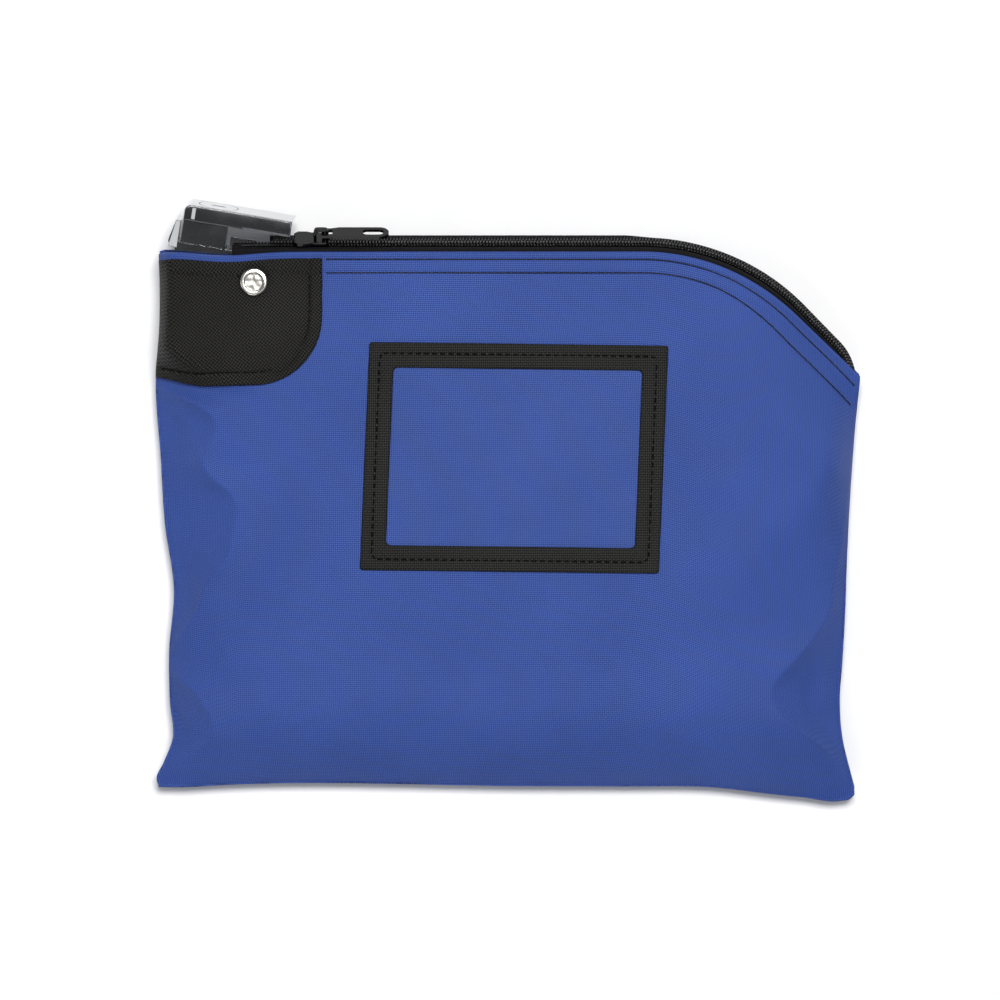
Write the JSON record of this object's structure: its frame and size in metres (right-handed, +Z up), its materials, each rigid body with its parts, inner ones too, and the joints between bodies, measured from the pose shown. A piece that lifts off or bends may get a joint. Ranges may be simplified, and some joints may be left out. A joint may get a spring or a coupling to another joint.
{
  "type": "locking deposit bag",
  "caption": "Flat cloth deposit bag with a coil zipper round one corner, a pop-up key lock, a reinforced corner and a framed card window.",
  "frame": {"origin": "middle of the back panel's flat rest face", "axes": "+X along the zipper from the lock to the round corner, +Y from the bottom seam to the zipper, +Z up out of the front panel"},
  "size_m": [0.2804, 0.2335, 0.0274],
  "materials": {
    "blue_cloth": "laminated nylon cloth, fine plain weave, satin",
    "black_ballistic": "coarse ballistic nylon, matt",
    "black_webbing": "woven nylon binding, matt",
    "clear_vinyl": "clear vinyl film",
    "black_tape": "woven zipper tape",
    "nylon_coil": "moulded nylon coil",
    "black_metal": "black enamelled zinc",
    "chrome": "polished chrome plate",
    "nickel": "nickel plated rivet",
    "spring_steel": "plain steel",
    "pin_brass": "turned brass"
  },
  "bodies": {
    "bag": {"front_panel": "blue_cloth", "back_panel": "blue_cloth", "front_corner_patch": "black_ballistic", "back_corner_patch": "black_ballistic", "window_frame": "black_webbing", "window_film": "clear_vinyl", "zipper_tape_front": "black_tape", "zipper_tape_back": "black_tape", "zipper_coil_front": "nylon_coil", "zipper_coil_back": "nylon_coil", "zipper_end_stop": "black_metal", "rivet_front": "nickel", "rivet_back": "nickel", "lock_housing": "chrome", "return_spring": "spring_steel"},
    "slider": {"slider_body": "black_metal", "slider_bail": "black_metal"},
    "pull": {"pull_tab": "black_metal"},
    "head": {"lock_head": "chrome", "driver_pin_1": "pin_brass", "driver_pin_2": "pin_brass", "driver_pin_3": "pin_brass", "driver_pin_4": "pin_brass", "driver_pin_5": "pin_brass"},
    "plug": {"key_plug": "chrome", "lock_cam": "spring_steel", "key_pin_1": "pin_brass", "key_pin_2": "pin_brass", "key_pin_3": "pin_brass", "key_pin_4": "pin_brass", "key_pin_5": "pin_brass"},
    "bolt": {"latch_bolt": "spring_steel"}
  },
  "joints": [
    {"name": "slider_slide", "type": "slide", "parent": "bag", "child": "slider", "axis": [1, 0, 0], "range_m": [-0.006, 0.123]},
    {"name": "pull_swing", "type": "hinge", "parent": "slider", "child": "pull", "pos_m": [-0.073, 0.11147, 0.01722], "axis": [0, -0.5446, 0.8387], "range_deg": [0, 105]},
    {"name": "head_press", "type": "slide", "parent": "bag", "child": "head", "axis": [-0.1614, -0.9647, -0.2079], "range_m": [0, 0.0038], "stiffness_N_per_m": 600, "springref_m": -0.004, "deforming": ["return_spring"]},
    {"name": "key_turn", "type": "hinge", "parent": "head", "child": "plug", "pos_m": [-0.11688, 0.10694, 0.0133], "axis": [0.1614, 0.9647, 0.2079], "range_deg": [0, 90]},
    {"name": "bolt_draw", "type": "slide", "parent": "head", "child": "bolt", "axis": [-0.0343, -0.2051, 0.9781], "range_m": [0, 0.0025]}
  ],
  "couplings": [
    {"joint": "key_turn", "follows": "bolt_draw", "rad_per_m": 628.32}
  ]
}
